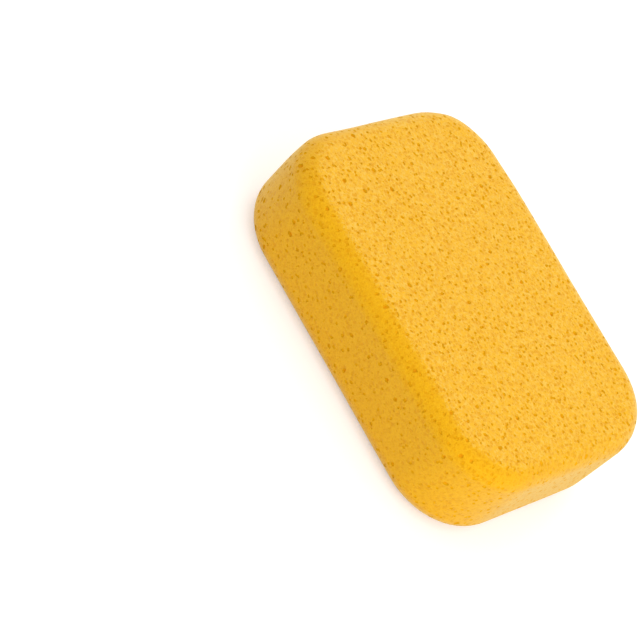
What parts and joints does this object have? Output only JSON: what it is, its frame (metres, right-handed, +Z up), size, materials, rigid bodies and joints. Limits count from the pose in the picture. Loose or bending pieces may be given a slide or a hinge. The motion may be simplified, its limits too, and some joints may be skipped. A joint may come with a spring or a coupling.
{
  "type": "grout sponge",
  "caption": "Yellow open-cell foam sponge block with rounded corners and rims, for wiping grout from tiles.",
  "frame": {"origin": "middle of the underside, on the surface that the sponge lies on", "axes": "+X along the length, +Y across the width, +Z up through the thickness"},
  "size_m": [0.1906, 0.1334, 0.0508],
  "materials": {
    "foam": "matte"
  },
  "bodies": {
    "root": {"sponge": "foam"}
  },
  "joints": []
}
